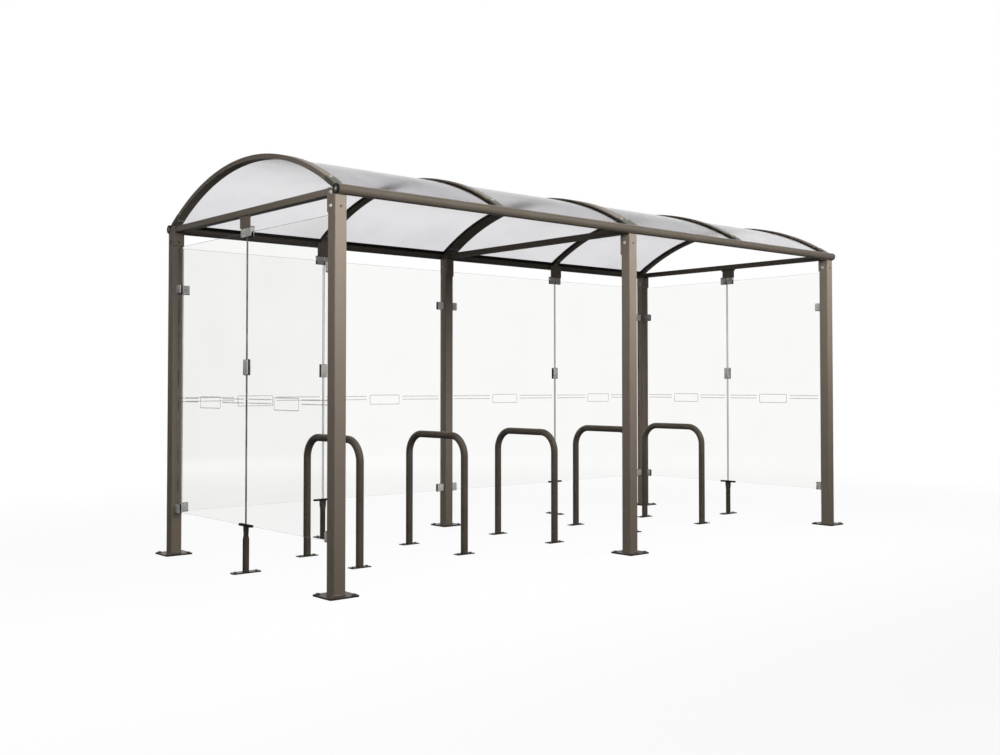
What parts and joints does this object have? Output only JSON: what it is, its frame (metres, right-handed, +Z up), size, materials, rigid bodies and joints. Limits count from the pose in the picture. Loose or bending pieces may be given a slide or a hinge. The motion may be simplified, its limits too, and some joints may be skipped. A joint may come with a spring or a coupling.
{
  "type": "bike shelter",
  "caption": "Open-fronted bike shelter with a steel post frame, arched translucent roof, glass end and rear walls, and bent tube hoops for locking bicycles.",
  "frame": {"origin": "on the ground in the middle of the shelter", "axes": "+X along the length to the right as seen from the open front, +Y to the glazed rear wall, +Z up"},
  "size_m": [5.26, 2.34, 2.7002],
  "materials": {
    "frame_coat": "satin grey-brown powder coat",
    "clear_sheet": "translucent plastic sheet",
    "safety_glass": "clear toughened glass",
    "clamp_steel": "brushed",
    "black_rubber": "matt black",
    "black_plastic": "matt black"
  },
  "bodies": {
    "root": {"post_front_left": "frame_coat", "post_front_middle": "frame_coat", "post_front_right": "frame_coat", "post_rear_left": "frame_coat", "post_rear_middle": "frame_coat", "post_rear_right": "frame_coat", "eave_tube_front": "frame_coat", "eave_tube_rear": "frame_coat", "eave_end_caps": "black_plastic", "tie_left": "frame_coat", "tie_middle": "frame_coat", "tie_right": "frame_coat", "roof_bar_left_end": "frame_coat", "roof_bar_left_bay": "frame_coat", "roof_bar_middle": "frame_coat", "roof_bar_right_bay": "frame_coat", "roof_bar_right_end": "frame_coat", "roof_sheet_1": "clear_sheet", "roof_sheet_2": "clear_sheet", "roof_sheet_3": "clear_sheet", "roof_sheet_4": "clear_sheet", "roof_edge_trims": "frame_coat", "glass_left_front": "safety_glass", "glass_left_rear": "safety_glass", "glass_right_front": "safety_glass", "glass_right_rear": "safety_glass", "glass_rear_1": "safety_glass", "glass_rear_2": "safety_glass", "glass_rear_3": "safety_glass", "glass_rear_4": "safety_glass", "glass_clamps_left": "clamp_steel", "glass_clamps_right": "clamp_steel", "glass_clamps_rear": "clamp_steel", "glass_hangers": "frame_coat", "glass_foot_left": "frame_coat", "glass_foot_right": "frame_coat", "glass_foot_rear_left": "frame_coat", "glass_foot_rear_right": "frame_coat", "glass_saddles": "black_rubber", "bike_hoop_1": "frame_coat", "bike_hoop_2": "frame_coat", "bike_hoop_3": "frame_coat", "bike_hoop_4": "frame_coat", "bike_hoop_5": "frame_coat"}
  },
  "joints": []
}
